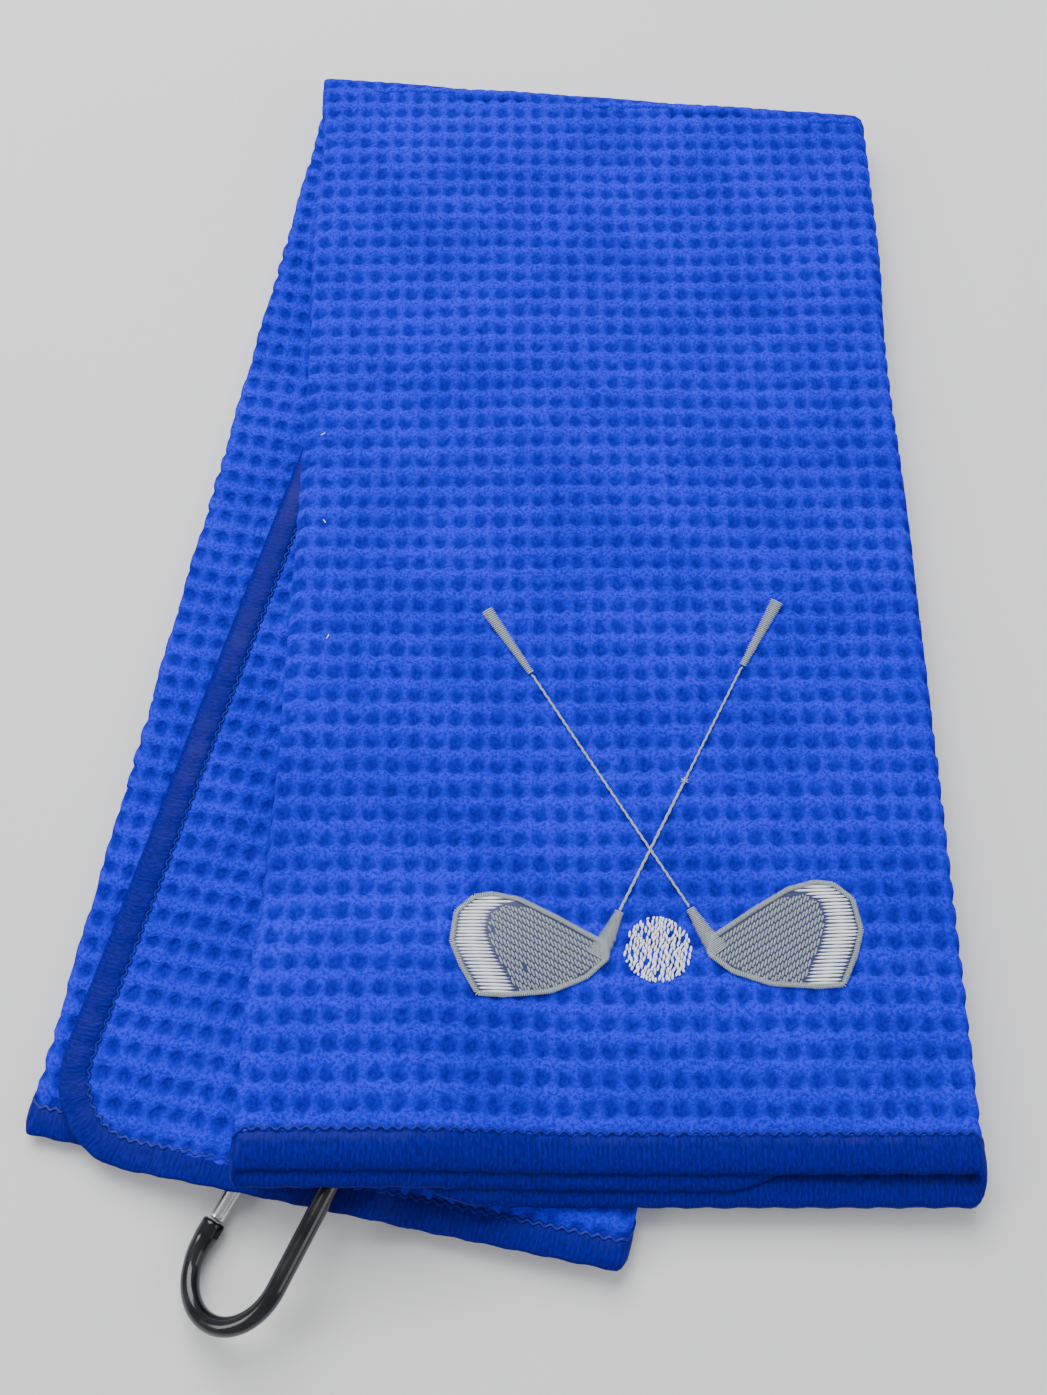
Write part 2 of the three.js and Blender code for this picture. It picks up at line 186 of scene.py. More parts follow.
table_finish, recipe, shader = new_finish("table_top", 0.7, Specular_IOR_Level=0.2)
place = recipe.add("ShaderNodeTexCoord").outputs["Object"]
mottle = recipe.add("ShaderNodeTexNoise", Vector=place, Scale=9.0, Detail=4.0).outputs["Fac"]
pale = recipe.blend_colours(mottle, TABLE_COLOUR, (0.78, 0.78, 0.775, 1))
link_in(recipe, shader, Base_Color=pale)
bm, places = new_grid(8, 8)
bmesh.ops.scale(bm, vec=(2 * TABLE_HALF_SIZE,) * 3, verts=bm.verts)
bmesh.ops.translate(bm, vec=(0, 0, -0.0003), verts=bm.verts)
finished_piece(bm, "table", table_finish)

# The sheet: one piece of waffle-weave microfibre, folded lengthwise in three and then in half.
# It is cut to 406 x 612 mm with round corners. Sizes are in millimetres, and go from the sheet's flat
# place (across from the left side fold, along from the front end) to its place once it is folded.
MM = 0.001
SHEET_WIDTH = 406
SHEET_LENGTH = 612
SHEET_LEFT = -123.6
CORNER_RADIUS = 22
CELLS_ACROSS = 83
CELLS_ALONG = 103
STEPS_PER_CELL = 3
CLOTH_THICK = 0.8
WAFFLE_DEPTH = 0.85
CUT_INSET = 2.5
LAYER_DEPTHS = {"middle": 0.85, "inner": 2.85, "outer": 4.85}
LAYER_SPLITS = (1.85, 3.85)
CLOTH_SEED = 11

# The side folds: how round they are, and how each runs off straight from the front end to the back end.
LEFT_FOLD_RADIUS = 1
RIGHT_FOLD_RADIUS = 2
FRONT_END_Y = -148.8
PANEL_LEFT_X = -58.5
FOLD_WIDTH = 157
LEFT_BACK_LEAN = 20
LEFT_BOW = 2.2
LEFT_DENT = 1.3
RIGHT_BACK_LEAN = 6
RIGHT_FRONT_LEAN = 2.6
RIGHT_KINK = 1.1
INNER_FLAP_MARGIN = 4
INNER_FLAP_HEM = 1.2

# The half fold: the line it lies on, its height, and the strips of cloth that bend at it.
FOLD_LEFT = np.array([-58.5, 154.3])
FOLD_NORMAL = np.array([0.0943, 0.9955])
FOLD_MIDDLE = (0.01965, 0.1469)
FOLD_HEIGHT = 6
HALF_TURN_LENGTH = 8.09
STRIP_SPARE = 1.2
BEND_START = 0.6
BACK_SHEAR = math.tan(math.radians(2.2))

# The lifts over the eyelet and the wire, and the waves. The back panel's place is given as a share of
# its length down from the half fold, and a share of its width across from its left side.
EYELET = np.array([-38.5, -129.6])
EYELET_CUT = 10.6
BACK_LENGTH = 293.2
BACK_LENGTH_GAIN = 17.1
BACK_RIGHT_X = 97.8
BACK_LEFT_DRIFT = 46.5
BACK_RIGHT_DRIFT = 75.2
BACK_LIFT = 6.15
BACK_LIFT_DOWN = (0.83, 0.892)
BACK_LIFT_LEFT = (0.153, 0.317)
BACK_LIFT_RIGHT = (0.645, 0.575)
PINCH = 0.45
FRONT_LIFT = 9
FRONT_LIFT_DOWN = (80, 124)
FRONT_LIFT_LEFT = (-14, 26)
WAVE_HEIGHTS = (0.5, 0.35)
WAVE_CALM = 30
LOWEST = 0.05

cloth_dice = np.random.default_rng(CLOTH_SEED)


def soft_step(value, start, end):
    t = np.clip((value - start) / (end - start), 0, 1)
    return t * t * (3 - 2 * t)


def settle(points):
    """Lifts the cloth over the eyelet and the wire, and gives it its slight waves."""
    x, y, z = points.T
    from_fold = -((points[:, :2] - FOLD_LEFT) @ FOLD_NORMAL)
    share = np.full(len(points), 0.5)
    for _ in range(3):
        down = from_fold / (BACK_LENGTH + BACK_LENGTH_GAIN * share)
        left = PANEL_LEFT_X - BACK_LEFT_DRIFT * down
        right = BACK_RIGHT_X - BACK_RIGHT_DRIFT * down
        share = (x - left) / (right - left)
    over_eyelet = soft_step(down, *BACK_LIFT_DOWN) * soft_step(share, *BACK_LIFT_LEFT)
    over_eyelet = over_eyelet * soft_step(share, *BACK_LIFT_RIGHT)
    lifted_back = z * (1 - PINCH * over_eyelet) + BACK_LIFT * over_eyelet
    over_wire = soft_step(-y, *FRONT_LIFT_DOWN) * soft_step(-x, *FRONT_LIFT_LEFT)
    lifted_front = z + FRONT_LIFT * over_wire
    new_z = np.where(z > FOLD_HEIGHT, lifted_front, lifted_back)
    wave = WAVE_HEIGHTS[0] * np.sin(x / 17 + y / 41) + WAVE_HEIGHTS[1] * np.sin(y / 23 - x / 37 + 1)
    calm = soft_step(np.abs(from_fold), 0, WAVE_CALM)
    new_z = new_z + wave * calm * np.clip(z / (2 * FOLD_HEIGHT), 0, 1)
    return np.column_stack([x, y, np.maximum(new_z, LOWEST)])


def fold_sheet(across, along, proud):
    """Where points of the flat sheet lie once folded.

    It also gives how far each is past the half fold, and its depth below the front face.
    """
    back = np.clip((along - SHEET_LENGTH / 2) / (SHEET_LENGTH / 2), 0, 1)
    front = np.clip((SHEET_LENGTH / 2 - along) / (SHEET_LENGTH / 2), 0, 1)
    bow = LEFT_BOW * np.sin(math.pi * front) ** 2
    dent = LEFT_DENT * soft_step(front, 0.02, 0.07) * soft_step(front, 0.16, 0.09)
    x_left = LEFT_BACK_LEAN * back + bow + dent
    kink = RIGHT_KINK * soft_step(front, 0.2, 0.32) * soft_step(front, 0.5, 0.33)
    x_right = FOLD_WIDTH - RIGHT_BACK_LEAN * back - RIGHT_FRONT_LEAN * front - kink
    r1 = LEFT_FOLD_RADIUS
    r2 = RIGHT_FOLD_RADIUS
    middle = LAYER_DEPTHS["middle"]

    # Middle panel first, then the two flaps turned behind it.
    x = across
    depth = middle - proud
    past = x_left + r1 - across
    angle = np.clip(past / r1, 0, math.pi)
    straight = np.maximum(past - math.pi * r1, 0)
    room = x_right - x_left - INNER_FLAP_MARGIN
    eased = np.minimum(1, room / (x_left - SHEET_LEFT - INNER_FLAP_HEM))
    turned = past > 0
    x = np.where(turned, x_left + r1 - (r1 + proud) * np.sin(angle) + straight * eased, x)
    depth = np.where(turned, middle + r1 - (r1 + proud) * np.cos(angle), depth)
    past = across - (x_right - r2)
    angle = np.clip(past / r2, 0, math.pi)
    straight = np.maximum(past - math.pi * r2, 0)
    turned = past > 0
    x = np.where(turned, x_right - r2 + (r2 + proud) * np.sin(angle) - straight, x)
    depth = np.where(turned, middle + r2 - (r2 + proud) * np.cos(angle), depth)

    # Then the half fold: the back half goes round the fold line and lies below.
    plan = np.column_stack([PANEL_LEFT_X + x, FRONT_END_Y + along])
    distance = (plan - FOLD_LEFT) @ FOLD_NORMAL
    on_line = plan - distance[:, None] * FOLD_NORMAL
    radius = FOLD_HEIGHT - depth
    past = distance - HALF_TURN_LENGTH
    quarter = math.pi * radius / 2
    turn = np.clip(past / np.maximum(radius, 0.05) + math.pi / 2, 0, math.pi)
    beyond = np.where(past < -quarter, past + quarter, np.where(past > quarter, quarter - past, 0))
    out = radius * np.sin(turn) + beyond
    spot = on_line + out[:, None] * FOLD_NORMAL
    z = FOLD_HEIGHT + radius * np.cos(turn)
    behind = past > 0
    spot[:, 0] += np.where(behind, out * BACK_SHEAR, 0)
    points = settle(np.column_stack([spot, z]))
    return points * MM, past, depth


def remember(bm, past, depth):
    """Keeps on each point how far it is past the half fold, and its depth."""
    for noted, values in (("past", past), ("depth", depth)):
        layer = bm.verts.layers.float.new(noted)
        for vertex, value in zip(bm.verts, values.tolist()):
            vertex[layer] = value


def cut_apart(bm, name, finish):
    """Divides folded cloth into the back, the front and the strips round the half fold."""
    bm.verts.index_update()
    corners = np.array([[v.index for v in face.verts] for face in bm.faces])
    means = []
    for noted in ("past", "depth"):
        layer = bm.verts.layers.float[noted]
        means.append(np.array([v[layer] for v in bm.verts])[corners].mean(axis=1))
    kinds = []
    for way, deep in zip(*means):
        reach = math.pi / 2 * max(FOLD_HEIGHT - deep, 0) + STRIP_SPARE
        if way > reach:
            kinds.append("back")
        elif way < -reach:
            kinds.append("front")
        elif deep < LAYER_SPLITS[0]:
            kinds.append("middle")
        else:
            kinds.append("inner" if deep < LAYER_SPLITS[1] else "outer")
    pieces = {}
    for kind in ("back", "front", "middle", "inner", "outer"):
        if kind not in kinds:
            continue
        copy = bm.copy()
        dropped = [face for face, own in zip(copy.faces, kinds) if own != kind]
        bmesh.ops.delete(copy, geom=dropped, context="FACES")
        for noted in ("past", "depth"):
            copy.verts.layers.float.remove(copy.verts.layers.float[noted])
        label = f"{kind}_{name}" if kind in ("back", "front") else f"fold_{kind}_{name}"
        pieces[kind] = finished_piece(copy, label, finish)
    bm.free()
    return pieces


def ride_halves(pieces):
    """Back and front ride on their halves. Each strip bends from one to the other."""
    for kind, piece in pieces.items():
        if kind in ("back", "front"):
            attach(piece, kind + "_half")
            continue
        lay = LAYER_DEPTHS[kind] + BEND_START
        start = (*FOLD_MIDDLE, lay * MM)
        end = (*FOLD_MIDDLE, (2 * FOLD_HEIGHT - lay) * MM)
        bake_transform(piece, "back_half", "front_half", start=start, end=end)


def rim_distance(across, along):
    """How far a flat place is outside the sheet's rounded edge; less than nothing is inside."""
    half = np.array([SHEET_WIDTH, SHEET_LENGTH]) / 2 - CORNER_RADIUS
    middle = np.array([SHEET_LEFT + SHEET_WIDTH / 2, SHEET_LENGTH / 2])
    reach = np.abs(np.column_stack([across, along]) - middle) - half
    outside = np.linalg.norm(np.maximum(reach, 0), axis=1)
    return outside + np.minimum(reach.max(axis=1), 0) - CORNER_RADIUS


# Fibre nap: fine uneven fuzz that the cloth, the tape and the threads all have, each at its own scale.
nap, recipe, given, put = new_group(
    "fibre_nap",
    [("Vector", "NodeSocketVector"), ("Scale", "NodeSocketFloat"), ("Stretch", "NodeSocketFloat")],
    [("Nap", "NodeSocketFloat"), ("Mottle", "NodeSocketFloat")],
)
apart = recipe.add("ShaderNodeSeparateXYZ", Vector=given.outputs["Vector"])
drawn = recipe.maths("MULTIPLY", apart.outputs["Y"], given.outputs["Stretch"])
strands = recipe.add("ShaderNodeCombineXYZ", X=apart.outputs["X"], Y=drawn, Z=apart.outputs["Z"])
fine = recipe.add("ShaderNodeTexNoise", Vector=strands.outputs[0], Scale=given.outputs["Scale"],
                  Detail=3.0, Roughness=0.65)
slow = recipe.maths("MULTIPLY", given.outputs["Scale"], 0.035)
broad = recipe.add("ShaderNodeTexNoise", Vector=given.outputs["Vector"], Scale=slow, Detail=2.0)
recipe.tree.links.new(fine.outputs["Fac"], put.inputs["Nap"])
recipe.tree.links.new(broad.outputs["Fac"], put.inputs["Mottle"])


def add_nap(recipe, vector, scale, stretch=1.0):
    node = recipe.add("ShaderNodeGroup", {"node_tree": nap}, Vector=vector, Scale=scale, Stretch=stretch)
    return node.outputs["Nap"], node.outputs["Mottle"]


# Waffle finish: bright fuzzy ridges round pits, one pit to each cell of the weave. The pits' darker blue is
# painted shade in the hollows, laid over their real relief and bump.
RIDGE_BLUE = (0.012, 0.007, 0.86, 1)
PIT_SHADE_BLUE = (0.005, 0.0012, 0.42, 1)
waffle, recipe, shader = new_finish(
    "waffle_cloth", 0.92, Sheen_Weight=0.06, Sheen_Roughness=0.45, Sheen_Tint=(0.2, 0.2, 1, 1),
    Specular_IOR_Level=0.03,
)
flat = recipe.add("ShaderNodeUVMap", {"uv_map": "lay"}).outputs[0]
flat_mm = recipe.add("ShaderNodeMapping", Vector=flat, Scale=(SHEET_WIDTH, SHEET_LENGTH, 1)).outputs[0]
fuzz, mottle = add_nap(recipe, flat_mm, 1.25)
wander = recipe.add("ShaderNodeTexNoise", Vector=flat_mm, Scale=0.45, Detail=2.0).outputs["Color"]
wander = recipe.vectors("SUBTRACT", wander, (0.5, 0.5, 0.5))
wander = recipe.vectors("MULTIPLY", wander, (0.5, 0.5, 0))
cells = recipe.add("ShaderNodeMapping", Vector=flat, Scale=(CELLS_ACROSS, CELLS_ALONG, 1)).outputs[0]
cell_axes = recipe.add("ShaderNodeSeparateXYZ", Vector=recipe.vectors("ADD", cells, wander))
swing = []
for axis in (cell_axes.outputs["X"], cell_axes.outputs["Y"]):
    cosine = recipe.maths("COSINE", recipe.maths("MULTIPLY", axis, 2 * math.pi))
    swing.append(recipe.maths("MULTIPLY_ADD", cosine, 0.5, 0.5))
low_wall = recipe.maths("MULTIPLY_ADD", swing[0], 0.72, 0.28)
hollow = recipe.maths("MULTIPLY", low_wall, swing[1])
rough_hollow = recipe.maths("MULTIPLY_ADD", recipe.maths("SUBTRACT", fuzz, 0.5), 1.1, hollow)
# Mask of painted shade: it darkens the colour in each pit's hollow.
pit_shade = recipe.spread(rough_hollow, 0.02, 0.78)
blue = recipe.blend_colours(pit_shade, RIDGE_BLUE, PIT_SHADE_BLUE)
fleck = recipe.spread(fuzz, 0.32, 0.68, 0.55, 1.2)
shade = recipe.spread(mottle, 0.3, 0.7, 0.9, 1.1)
tone = recipe.maths("MULTIPLY", fleck, shade)
tone = recipe.add("ShaderNodeCombineXYZ", X=tone, Y=tone, Z=tone).outputs[0]
blue = recipe.blend_colours(1.0, blue, tone, "MULTIPLY")
height = recipe.maths("MULTIPLY_ADD", fuzz, 0.7, recipe.maths("MULTIPLY", hollow, -0.6))
bump = recipe.add("ShaderNodeBump", Strength=0.85, Distance=0.0008, Height=height).outputs[0]
link_in(recipe, shader, Base_Color=blue, Normal=bump)

bm, places = new_grid(CELLS_ACROSS * STEPS_PER_CELL, CELLS_ALONG * STEPS_PER_CELL)
across = SHEET_LEFT + SHEET_WIDTH * places[:, 0]
along = SHEET_LENGTH * places[:, 1]
waves = [0.5 + 0.5 * np.cos(2 * math.pi * places[:, 0] * CELLS_ACROSS),
         0.5 + 0.5 * np.cos(2 * math.pi * places[:, 1] * CELLS_ALONG)]
relief = WAFFLE_DEPTH * (0.5 - waves[1] * (0.25 + 0.75 * waves[0]))
relief += cloth_dice.uniform(-0.07, 0.07, len(places))
near_rim = soft_step(rim_distance(across, along), -9, -5)
relief *= 1 - near_rim
drift = cloth_dice.uniform(-0.16, 0.16, (2, len(places)))
points, past, depth = fold_sheet(across + drift[0], along + drift[1], relief)
move_to(bm, points)
bm.verts.index_update()
corners = np.array([[v.index for v in face.verts] for face in bm.faces])
cut_off = rim_distance(across[corners].mean(axis=1), along[corners].mean(axis=1)) > -CUT_INSET
to_eyelet = np.linalg.norm(points[corners, :2].mean(axis=1) / MM - EYELET, axis=1)
pierced = (past[corners[:, 0]] > 0) & (to_eyelet < EYELET_CUT)
outside = [face for face, gone in zip(bm.faces, cut_off | pierced) if gone]
remember(bm, past, depth)
bmesh.ops.delete(bm, geom=outside, context="FACES")
cloth_pieces = cut_apart(bm, "cloth", waffle)
for piece in cloth_pieces.values():
    thick = piece.modifiers.new("thickness", "SOLIDIFY")
    thick.thickness = CLOTH_THICK * MM
    thick.offset = 0
    graph = bpy.context.evaluated_depsgraph_get()
    piece.data = bpy.data.meshes.new_from_object(piece.evaluated_get(graph))
    piece.modifiers.clear()
ride_halves(cloth_pieces)
for half in ("back", "front"):
    panels = [f"{half}_{panel}" for panel in ("middle_panel", "inner_flap", "outer_flap")]
    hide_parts(*panels)
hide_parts("top_fold")

# Binding: a smooth folded tape sewn over the sheet's cut edge all round, corners included.
# It is a flat tube 7 mm wide, and a zigzag seam holds its inner edge down on both faces.
TAPE_WIDE = 7
TAPE_THICK = 1.9
TAPE_INSET = 3.2
TAPE_SIDES = 12
TAPE_GIRTH = 16
TAPE_RIB_PITCH = 1.15
TAPE_PUCKER = 0.07
TAPE_PUCKER_PITCH = 7.3
RIM_LENGTH = 1985
SEAM_INSET = 6.35
SEAM_PITCH = 2.5
SEAM_SWING = 0.3
SCALLOP = 0.35
SEAM_THREAD = 0.5
SEAM_LIFT = 0.62
TAPE_BLUE = (0.003, 0.0008, 0.27, 1)
TAPE_DARK = (0.001, 0.0002, 0.11, 1)


def rim_path(inset, step):
    """Evenly spaced places round the flat sheet, inset from its edge, and the inward way at each."""
    radius = CORNER_RADIUS - inset
    half_wide = SHEET_WIDTH / 2 - CORNER_RADIUS
    half_long = SHEET_LENGTH / 2 - CORNER_RADIUS
    quarters = [(1, 1), (-1, 1), (-1, -1), (1, -1)]
    spots = []
    for number, (way_x, way_y) in enumerate(quarters):
        x, y = way_x * half_wide, way_y * half_long
        for angle in np.linspace(0, math.pi / 2, 13) + number * math.pi / 2:
            spots.append((x + radius * math.cos(angle), y + radius * math.sin(angle)))
    spots = np.array(spots + [spots[0]])
    run = np.concatenate([[0], np.cumsum(np.linalg.norm(np.diff(spots, axis=0), axis=1))])
    count = round(run[-1] / step)
    at = np.linspace(0, run[-1], count + 1)
    path = np.column_stack([np.interp(at, run, spots[:, 0]), np.interp(at, run, spots[:, 1])])
    ahead = np.roll(path[:-1], -1, axis=0) - np.roll(path[:-1], 1, axis=0)
    ahead = np.vstack([ahead, ahead[:1]])
    ahead /= np.linalg.norm(ahead, axis=1)[:, None]
    inward = np.column_stack([-ahead[:, 1], ahead[:, 0]])
    path = path + [SHEET_LEFT + SHEET_WIDTH / 2, SHEET_LENGTH / 2]
    return path, inward, at


def rim_tube(path, inward, sides, wide, high, lift, name, finish, scallop=None):
    """A closed tube laid along the rim, folded with the sheet and divided where the sheet is."""
    count = len(path) - 1
    bm, places = new_grid(sides, count)
    station = np.rint(places[:, 1] * count).astype(int)
    angle = 2 * math.pi * places[:, 0]
    sideways = np.sign(np.cos(angle)) * np.abs(np.cos(angle)) ** 0.75 * wide / 2
    if scallop is not None:
        sideways += scallop[station] * np.maximum(np.cos(angle), 0)
    flat_place = path[station] + inward[station] * sideways[:, None]
    proud = lift[station] + np.sin(angle) * high / 2
    points, past, depth = fold_sheet(flat_place[:, 0], flat_place[:, 1], proud)
    move_to(bm, points)
    remember(bm, past, depth)
    bmesh.ops.remove_doubles(bm, verts=bm.verts, dist=1e-6)
    bmesh.ops.recalc_face_normals(bm, faces=bm.faces)
    return cut_apart(bm, name, finish)


tape, recipe, shader = new_finish(
    "edge_tape", 0.5, Sheen_Weight=0.04, Sheen_Roughness=0.3, Sheen_Tint=(0.2, 0.2, 1, 1),
    Specular_IOR_Level=0.1,
)
lay = recipe.add("ShaderNodeUVMap", {"uv_map": "lay"}).outputs[0]
lay_mm = recipe.add("ShaderNodeMapping", Vector=lay, Scale=(TAPE_GIRTH, RIM_LENGTH, 1)).outputs[0]
fuzz, mottle = add_nap(recipe, lay_mm, 0.9, 2.2)
run_axis = recipe.add("ShaderNodeSeparateXYZ", Vector=lay_mm).outputs["Y"]
ribs = recipe.maths("SINE", recipe.maths("MULTIPLY", run_axis, 2 * math.pi / TAPE_RIB_PITCH))
rib = recipe.maths("MULTIPLY_ADD", ribs, 0.5, 0.5)
worn = recipe.maths("MULTIPLY_ADD", rib, 0.07, recipe.maths("MULTIPLY", fuzz, 0.93))
blue = recipe.blend_colours(recipe.spread(worn, 0.3, 0.7), TAPE_DARK, TAPE_BLUE)
bump = recipe.add("ShaderNodeBump", Strength=0.4, Distance=0.0004, Height=worn).outputs[0]
gloss = recipe.spread(mottle, 0.3, 0.7, 0.42, 0.6)
link_in(recipe, shader, Base_Color=blue, Normal=bump, Roughness=gloss)

path, inward, at = rim_path(TAPE_INSET, SEAM_PITCH / 3)
pucker = TAPE_PUCKER * np.sin(at * 2 * math.pi / TAPE_PUCKER_PITCH)
pucker = pucker + cloth_dice.uniform(-0.03, 0.03, len(at))
scallop = SCALLOP * np.cos(2 * math.pi * np.arange(len(at)) / 3)
pucker[-1] = pucker[0]
scallop[-1] = scallop[0]
tape_pieces = rim_tube(
    path, inward, TAPE_SIDES, TAPE_WIDE, TAPE_THICK, pucker, "binding", tape, scallop
)
ride_halves(tape_pieces)

seam, recipe, shader = new_finish("seam_thread", 0.55, Specular_IOR_Level=0.3)
lay = recipe.add("ShaderNodeUVMap", {"uv_map": "lay"}).outputs[0]
lay_mm = recipe.add("ShaderNodeMapping", Vector=lay, Scale=(2, RIM_LENGTH, 1)).outputs[0]
fuzz, mottle = add_nap(recipe, lay_mm, 2.0)
blue = recipe.blend_colours(fuzz, (0.0003, 0.0015, 0.1, 1), (0.002, 0.008, 0.36, 1))
link_in(recipe, shader, Base_Color=blue)
path, inward, at = rim_path(SEAM_INSET, SEAM_PITCH / 4)
swing = SEAM_SWING * np.sign(np.cos(at * 2 * math.pi / SEAM_PITCH + 0.1))
swing[-1] = swing[0]
seam_sides = {}
for side, word in ((1, "face_seam"), (-1, "reverse_seam")):
    lift = np.full(len(at), side * SEAM_LIFT)
    seam_sides[word] = rim_tube(
        path + inward * swing[:, None], inward, 5, SEAM_THREAD, SEAM_THREAD, lift, word, seam
    )
    ride_halves(seam_sides[word])
for half in ("back", "front"):
    hems = ["middle_hem", "inner_flap_side_hem", "inner_flap_hem", "outer_flap_side_hem",
            "outer_flap_hem"]
    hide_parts(*[f"{half}_{hem}" for hem in hems])

# Embroidery: rayon thread stitched through the front face. Grey fills and outlines make the heads,
# shafts and grips, white satin the toes, and broken white stitches the ball.
CROSSING = np.array([28.7, -80.1])
MOTIF_TURN = math.radians(2)
THREAD_LIFT = 0.25
GRIP = [(35.4, 62.3), (25.3, 45.3)]
GRIP_WIDTHS = (3.2, 1.5)
SHAFT = [(25.1, 45), (-7.7, -13.3)]
HOSEL = [(-7.9, -13.8), (-11, -19.8), (-13.4, -23.6)]
HOSEL_WIDTHS = (2, 5.4)
FACE = [(-12.2, -21.6), (-11.4, -24), (-21.9, -30.2), (-30.9, -31.2), (-32.6, -27.8), (-35.2, -23.3),
        (-37.2, -17.4), (-36.4, -13.6), (-33.6, -11.6), (-27.8, -12.3), (-15, -19.8)]
TOE = [(-31.1, -31.8), (-39.2, -31.5), (-44.8, -20.4), (-43.4, -12.6), (-39.9, -9.2), (-33.3, -9.6),
       (-30.2, -10.9), (-33.5, -11.3), (-36.7, -13.3), (-37.5, -17.4), (-35.5, -23.3), (-32.9, -27.8)]
HEAD = [(-12, -20.5), (-11.2, -24), (-16, -28), (-24, -31), (-34.2, -32), (-39.6, -31.8),
        (-43, -25.5), (-45, -20), (-44, -13), (-40, -9.4), (-36, -8.8), (-30, -10.2), (-22, -14.5)]
OUTLINE_WIDE = 1.15
KNOT_SHARE = 0.49
KNOT_REACH = 0.9
BACKING_LIFT = 0.18
BALL_CENTRE = (0, -22.5)
BALL_RADIUS = 7.3
STITCH_SEED = 5
stitch_dice = random.Random(STITCH_SEED)


def face_height(x, y):
    """Height of the front face's ridges, in millimetres."""
    return settle(np.array([[x, y, 2 * FOLD_HEIGHT - 0.1]]))[0, 2]


def on_cloth(spot, flipped, lift):
    """A place in the motif, in millimetres, put on the face of the cloth."""
    x, y = (-spot[0] if flipped else spot[0]), spot[1]
    c, s = math.cos(MOTIF_TURN), math.sin(MOTIF_TURN)
    x, y = CROSSING + (x * c - y * s, x * s + y * c)
    return Vector((x, y, face_height(x, y) + lift)) * MM


def sew(bm, start, end, wide, flipped, lift=THREAD_LIFT, high=0.4):
    """One stitch, a small bead of thread from start to end."""
    a = on_cloth(start, flipped, lift)
    b = on_cloth(end, flipped, lift)
    way = b - a
    turn = way.to_track_quat("X", "Z").to_matrix().to_4x4()
    size = Matrix.Diagonal((way.length / 2 + 0.15 * MM, wide / 2 * MM, high / 2 * MM, 1))
    made = Matrix.Translation((a + b) / 2) @ turn @ size @ Matrix.Rotation(math.pi / 2, 4, "Y")
    bmesh.ops.create_uvsphere(bm, u_segments=6, v_segments=4, radius=1, matrix=made)


def rows_across(outline, angle, pitch):
    """Straight rows over an outline at that angle, each from edge to edge."""
    c, s = math.cos(angle), math.sin(angle)
    turned = [(x * c + y * s, -x * s + y * c) for x, y in outline]
    low = min(y for _, y in turned)
    high = max(y for _, y in turned)
    rows = []
    for number in range(int((high - low) / pitch) + 1):
        level = low + (number + 0.5) * pitch
        cuts = []
        for (x0, y0), (x1, y1) in zip(turned, turned[1:] + turned[:1]):
            if (y0 > level) != (y1 > level):
                cuts.append(x0 + (x1 - x0) * (level - y0) / (y1 - y0))
        cuts.sort()
        for from_x, to_x in zip(cuts[::2], cuts[1::2]):
            rows.append((number, from_x, to_x, level))
    return rows, c, s


def fill(bm, outline, angle, pitch, wide, length, shift, flipped, gap=0.12, missed=0.0, sway=0.03):
    """Fills an outline with rows of stitches, each row shifted from the last."""
    rows, c, s = rows_across(outline, angle, pitch)
    for number, from_x, to_x, level in rows:
        phase = length * ((number * shift) % 1)
        at = math.floor((from_x - phase) / length) * length + phase
        while at < to_x:
            a = max(at, from_x)
            b = min(at + length - gap, to_x)
            at += length
            if b - a < 0.25 or stitch_dice.random() < missed:
                continue
            lift = THREAD_LIFT + stitch_dice.uniform(-0.04, 0.04)
            row = level + stitch_dice.uniform(-sway, sway)
            start = (a * c - row * s, a * s + row * c)
            row = level + stitch_dice.uniform(-sway, sway)
            end = (b * c - row * s, b * s + row * c)
            sew(bm, start, end, wide, flipped, lift)


def satin(bm, line, widths, pitch, wide, flipped, closed=False, slant=0.0, lift=0.4):
    """Stitches side by side across a line, as a satin column or an outline."""
    spots = np.array(line + [line[0]] if closed else line, float)
    run = np.concatenate([[0], np.cumsum(np.linalg.norm(np.diff(spots, axis=0), axis=1))])
    for at in np.arange(0, run[-1], pitch):
        x = np.interp([at - 0.3, at, at + 0.3], run, spots[:, 0])
        y = np.interp([at - 0.3, at, at + 0.3], run, spots[:, 1])
        ahead = np.array([x[2] - x[0], y[2] - y[0]])
        ahead /= np.linalg.norm(ahead)
        side = np.array([-ahead[1], ahead[0]]) + ahead * slant
        half = np.interp(at / run[-1], [0, 1], widths) / 2 * stitch_dice.uniform(0.92, 1.06)
        middle = np.array([x[1], y[1]])
        sew(bm, middle - side * half, middle + side * half, wide, flipped, lift, 0.45)


def running(bm, start, end, length, wide, flipped):
    """A line of thread, stitch after stitch, with a second pass twisted over the first."""
    start, end = np.array(start, float), np.array(end, float)
    whole = np.linalg.norm(end - start)
    ahead = (end - start) / whole
    side = np.array([-ahead[1], ahead[0]])
    for strand in (-0.14, 0.14):
        for at in np.arange(0, whole, length):
            a = start + ahead * max(at + strand * 4, 0) - side * strand
            b = start + ahead * min(at + length + strand * 4, whole) + side * strand
            sew(bm, a, b, wide, flipped, THREAD_LIFT)


